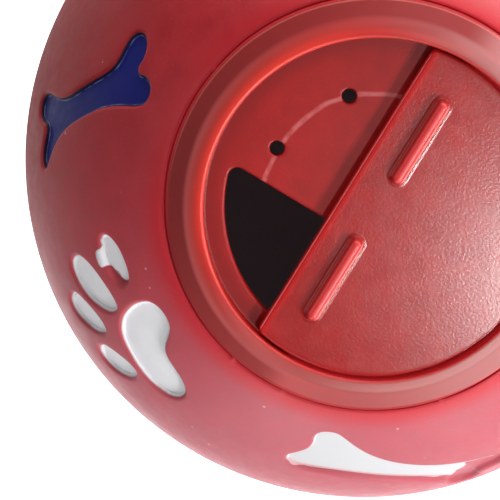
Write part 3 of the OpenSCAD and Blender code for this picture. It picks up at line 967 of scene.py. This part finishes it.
paintPiece("bluePaint", "blue", "blue_paint", blueFilm, 3)
paintPiece("whitePaint", "white", "white_paint", whiteFilm, 5)
print("paint done")

ring = {
    "recessRadius": 27.55,
    "outerRadius": insertReach,
    "edgeHeight": insertTop - 5.4,
    "crestHeight": insertTop,
    "crestRound": 0.55,
    "floorHeight": insertTop - 3.5,
    "floorThick": 2.0,
    "slope": math.radians(49.3),
    "neckRadius": 30.2,
    "neckTop": 49.8,
    "seatHeight": 46.5,
    "catchWide": 1.5,
    "skirtRadius": 28.0,
    "skirtBottom": insertFoot,
    "steps": 360,
}
hub = {"bore": 3.68, "radius": 5.43, "bottom": ring["floorHeight"] - 4.0, "steps": 96}
opening = {"radius": 24.2, "past": -5.73, "corner": 1.5, "spacing": 0.55}
clicks = {"radius": 18.5, "hole": 1.2, "round": 0.26, "count": 5, "steps": 40}


def partDisc(radius, past, corner, spacing):
    # a disc cut by x = -past, with round corners, anticlockwise
    cx = -past + corner
    cy = math.sqrt((radius - corner) ** 2 - cx ** 2)
    lead = math.degrees(math.atan2(cy, cx))
    big = arcPoints((0, 0), radius, -lead, lead, int(2 * math.radians(lead) * radius / spacing))
    upper = arcPoints((cx, cy), corner, lead, 180, 10)[1:]
    lower = arcPoints((cx, -cy), corner, 180, 360 - lead, 10)[:-1]
    flat = [(-past, y) for y in np.linspace(cy, -cy, int(2 * cy / spacing) + 1)[1:-1]]
    return np.array(big + upper + flat + lower)


def ringProfile(floor, under):
    # recess wall, crest, sloping face, edge, seat, neck, catch and skirt
    wall, crest, soft = ring["recessRadius"], ring["crestHeight"], ring["crestRound"]
    profile = [(wall - 1.2, floor), (wall - 0.4, floor), (wall - 0.03, floor), (wall, floor + 0.03)]
    profile += [(wall, floor + 0.5), (wall, crest - 1.0)]
    profile += arcPoints((wall + soft, crest - soft), soft, 180, 84, 9)
    foot = np.array([ring["outerRadius"], ring["edgeHeight"]])
    rise = math.tan(ring["slope"])
    faceTop = np.array([wall + 2.5, foot[1] + (foot[0] - wall - 2.5) * rise + 0.02])
    knee = (wall + 1.45, faceTop[1] + 1.0 * rise * 0.96)
    profile += curved(profile[-1], knee, faceTop, 10)
    way = (foot - faceTop) / np.linalg.norm(foot - faceTop)
    down = foot - faceTop - way * 0.5
    profile += [tuple(faceTop + down * step) for step in np.linspace(0.25, 1, 4)]
    end = foot - np.array([0.0, 0.3])
    profile += curved(profile[-1], foot, end, 5)
    neck, skirt, low, deep = ring["neckRadius"], ring["skirtRadius"], ball["lipBottom"], ring["skirtBottom"]
    seat, high, wide = ring["seatHeight"], ring["neckTop"], ring["catchWide"]
    profile += [(foot[0], seat + 0.1), (foot[0] - 0.3, seat), (neck + 0.2, high + 0.2), (neck, high)]
    profile += [(neck, low + 0.3), (neck + 0.3, low), (neck + wide - 0.1, low), (neck + wide, low - 0.2)]
    profile += [(neck + 0.2, deep + 0.2), (neck - 0.1, deep), (skirt + 0.2, deep), (skirt, deep + 0.3)]
    profile += [(skirt, under - 0.4), (wall, under)]
    return profile


def insertForm():
    skin = Skin()
    floor = ring["floorHeight"]
    under = floor - ring["floorThick"]
    top, bottom = addTurned(skin, ringProfile(floor, under), ring["steps"], insertPlastic)
    bore, outside, low = hub["bore"], hub["radius"], hub["bottom"]
    hubLine = [
        (bore + 0.6, floor), (bore + 0.3, floor), (bore + 0.07, floor - 0.08), (bore, floor - 0.3),
        (bore, low + 0.25), (bore + 0.17, low), (outside - 0.18, low), (outside, low + 0.2), (outside, under),
    ]
    hubTop, hubBottom = addTurned(skin, hubLine, hub["steps"], insertPlastic)
    # the click holes stand on a half circle round the hub
    r, e = clicks["hole"], clicks["round"]
    sleeve = [(r + e + 0.2, floor), (r + e, floor)]
    sleeve += [(r + e - e * math.sin(t), floor - e + e * math.cos(t)) for t in np.radians((22, 45, 68, 90))]
    sleeve += [(r, under + 0.15), (r + 0.15, under)]
    row = {
        "Count": clicks["count"], "Row Radius": clicks["radius"] * mm,
        "Row Start": 0.0, "Row Sweep": math.pi,
    }
    points, faces, tops, bottoms = turnedForm(sleeve, clicks["steps"], insertPlastic, row)
    skin.take(points, faces)
    holeTops = [loop[:, :2] for loop in np.split(tops, clicks["count"])]
    holeBottoms = [loop[:, :2] for loop in np.split(bottoms, clicks["count"])]
    # the opening: its rim is rounded, then its wall
    rows = [
        (-0.55, floor), (-0.32, floor), (-0.2, floor - 0.03), (-0.09, floor - 0.1), (-0.02, floor - 0.22),
        (0, floor - 0.36), (0, under + 0.1), (-0.1, under),
    ]
    base = partDisc(opening["radius"], opening["past"], opening["corner"], opening["spacing"])
    flats = skin.walls(np.stack([base[:, 1], -base[:, 0]], 1), rows)  # its straight side faces +Y
    skin.fill(top[:, :2], [hubTop[:, :2], flats[0], *holeTops], level(floor))
    skin.fill(bottom[:, :2], [hubBottom[:, :2], flats[-1], *holeBottoms], level(under))
    piece = skin.build("insertBody", insertPlastic)
    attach(piece, "ball")
    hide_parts("insert")


insertForm()
print("insert done")

gateSize = {
    "radius": 27.2,
    "past": 6.03,
    "bottom": ring["floorHeight"] + 0.3,
    "top": gateHigh - 2.0,  # where the ridges stand
    "cornerRadius": 1.1,
    "edgeRound": 0.5,
    "spacing": 0.55,
}
ridge = {
    "long": 15.6,
    "wide": 2.5,
    "out": 12.9,  # from the gate's centre to the ridge's
    "profile": [  # way in from the ridge's side, height
        (-0.6, 0), (-0.2, 0), (-0.12, 0.03), (-0.05, 0.11), (0.01, 0.3), (0.1, 0.7), (0.22, 1.12),
        (0.36, 1.48), (0.54, 1.76), (0.78, 1.93), (1.05, 2.0),
    ],
}
boss = {"radius": 3.6, "bottom": gateFoot, "screwHole": 1.3, "holeTop": gateHigh - 3.2, "steps": 72}
nub = {"radius": 0.75, "out": 18.5, "tall": 0.25, "steps": 24}


def ridgeOutline(centre):
    half, reach = ridge["wide"] / 2, (ridge["long"] - ridge["wide"]) / 2
    top, bottom = centre + reach, centre - reach
    left = [(-half, v) for v in np.linspace(top, bottom, 24)[1:-1]]
    right = [(half, v) for v in np.linspace(bottom, top, 24)[1:-1]]
    topEnd, bottomEnd = arcPoints((0, top), half, 0, 180, 22), arcPoints((0, bottom), half, 180, 360, 22)
    return np.array(topEnd + left + bottomEnd + right)


def gateForm():
    skin = Skin()
    bottom, top, soft = gateSize["bottom"], gateSize["top"], gateSize["edgeRound"]
    base = partDisc(gateSize["radius"], gateSize["past"], gateSize["cornerRadius"], gateSize["spacing"])
    rows = [(1.0, top), (soft, top)]
    turns = np.radians((18, 36, 54, 72, 90))
    rows += [(soft - soft * math.sin(t), top - soft + soft * math.cos(t)) for t in turns]
    rows += [(0, bottom + 0.2), (0.06, bottom + 0.06), (0.2, bottom)]
    flats = skin.walls(base, rows)
    feet = []
    for centre in (-ridge["out"], ridge["out"]):
        rows = [(inward, top + height) for inward, height in ridge["profile"]]
        loops = skin.walls(ridgeOutline(centre), rows)
        feet.append(loops[0])
        skin.fill(loops[-1], [], level(rows[-1][1]))
    # boss below, with the hole that the screw bites into
    r, low, hole = boss["radius"], boss["bottom"], boss["screwHole"]
    bossLine = [
        (r + 0.5, bottom), (r + 0.2, bottom), (r + 0.04, bottom - 0.05), (r, bottom - 0.25), (r, low + 0.26),
        (r - 0.2, low), (hole + 0.15, low), (hole, low + 0.16), (hole, boss["holeTop"]),
    ]
    bossTop, boreEnd = addTurned(skin, bossLine, boss["steps"], gatePlastic)
    skin.close(boreEnd, (0, 0, boss["holeTop"]))
    # the nub that drops into the click holes
    r, deep = nub["radius"], nub["tall"]
    nubLine = [(r + 0.15, bottom), (r - 0.09, bottom)]
    nubLine += [(math.sin(t), bottom + r - math.cos(t)) for t in np.radians((35, 27, 18, 9))]
    nubTop, nubEnd = addTurned(skin, nubLine, nub["steps"], gatePlastic, (0, nub["out"]))
    skin.close(nubEnd, (0, nub["out"], bottom - deep))
    skin.fill(flats[0], feet, level(top))
    skin.fill(flats[-1], [bossTop[:, :2], nubTop[:, :2]], level(bottom))
    piece = skin.build("gateDisc", gatePlastic)
    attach(piece, "gate")
    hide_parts("gate")


gateForm()
print("gate done")

for node in ("pivot_screw", "pivot_washer"):
    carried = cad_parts[node]
    carried.data.materials.clear()
    carried.data.materials.append(steel)

stageSize = {
    "half": 4000.0,
    "height": -60.1,
    "pale": (0.85, 0.85, 0.85),
    "glow": 1.7,
    "seenShare": 0.5,  # of the glow that only the camera sees
    "glowRadius": 105.0,
    "glowEnd": 135.0,
    "brightSide": (20.0, 70.0),
    "backdrop": (0.9, 0.9, 0.9),
}
view = {  # the photograph's camera
    "lens": 193.36, "sensor": 36.0, "at": (-54.577, 50.034, 474.949),
    "right": (0.853757, 0.520668, 0.00102), "up": (-0.511906, 0.839741, -0.18106),
    "back": (-0.095129, 0.154059, 0.983468),
}


def stageAndCamera():
    mesh = bpy.data.meshes.new("floor")
    wide, low = stageSize["half"] * mm, stageSize["height"] * mm
    corners = [(-wide, -wide, low), (wide, -wide, low), (wide, wide, low), (-wide, wide, low)]
    mesh.from_pydata(corners, [], [(0, 1, 2, 3)])
    floor = bpy.data.objects.new("floor", mesh)
    bpy.context.collection.objects.link(floor)
    s = newMaterial("paleFloor")
    # as bright as the photograph's ground round the ball, shining on it from one side only
    x, y, _ = s.axes()
    seen = s.node("LightPath", take="Is Camera Ray")
    near = s.spread(s.fromAxis(x, y), stageSize["glowRadius"], stageSize["glowEnd"], 1.0, 0.0)
    brightSide = s.spread(x * 0.45 - y * 0.9, *stageSize["brightSide"])
    lit = s.blend(seen * stageSize["seenShare"] + (1.0 - seen) * near * brightSide, (0, 0, 0), (1, 1, 1))
    mesh.materials.append(s.finish(colour(stageSize["pale"]), 0.6, **{
        "Emission Color": lit, "Emission Strength": stageSize["glow"],
    }))
    data = bpy.data.cameras.new("camera")
    data.sensor_width, data.lens, data.clip_start, data.clip_end = view["sensor"], view["lens"], 0.05, 20.0
    camera = bpy.data.objects.new("camera", data)
    axes = [Vector(view[k]) for k in ("right", "up", "back")] + [Vector(view["at"]) * mm]
    camera.matrix_world = Matrix([[axis[k] for axis in axes] for k in range(3)] + [[0, 0, 0, 1]])
    bpy.context.collection.objects.link(camera)
    bpy.context.scene.camera = camera


aim = (0.018, -0.016, 0.045)  # in m, what the lights point at
lights = [  # direction, distance and width in m, power in W
    ((0.70, -0.12, 0.70), 0.55, 0.16, 2.55),
    ((0.74, 0.62, 0.24), 0.34, 0.14, 0.70),
    ((0.81, -0.59, 0.05), 1.0, 0.42, 3.0),
    ((0.21, 0.97, 0.13), 1.0, 0.42, 3.8),
    ((-0.29, 0.95, 0.09), 1.0, 0.42, 3.2),
    ((0.26, -0.965, 0.05), 1.0, 0.42, 3.3),
    ((-0.42, 0.80, 0.42), 1.0, 0.60, 2.9),
    ((0.2613, -0.0256, 0.9649), 0.329, 0.04, 0.215),
    ((0.05, -0.72, 0.69), 0.34, 0.14, 0.12),
    ((-0.78, -0.20, 0.56), 1.0, 0.50, 1.9),
    ((0.10, 0.30, 0.95), 1.0, 0.60, 0.30),
]


def studioLight():
    for i, (way, far, size, power) in enumerate(lights):
        data = bpy.data.lights.new(f"softbox{i}", "AREA")
        data.shape, data.size, data.energy = "DISK", size, power
        lamp = bpy.data.objects.new(f"softbox{i}", data)
        at = Vector(way).normalized() * far
        lamp.location = at + Vector(aim)
        lamp.rotation_euler = at.to_track_quat("Z", "Y").to_euler()
        bpy.context.collection.objects.link(lamp)
    s = Shader(bpy.data.worlds.new("studio"))
    seen = s.node("LightPath", take="Is Camera Ray")  # a pale backdrop that lights nothing
    sky = s.node("Background", None, {"Color": colour(stageSize["backdrop"]), "Strength": seen})
    s.node("OutputWorld", None, {0: sky})
    bpy.context.scene.world = s.owner
    bpy.context.scene.view_settings.view_transform = "Standard"


stageAndCamera()
studioLight()
print("stage done")
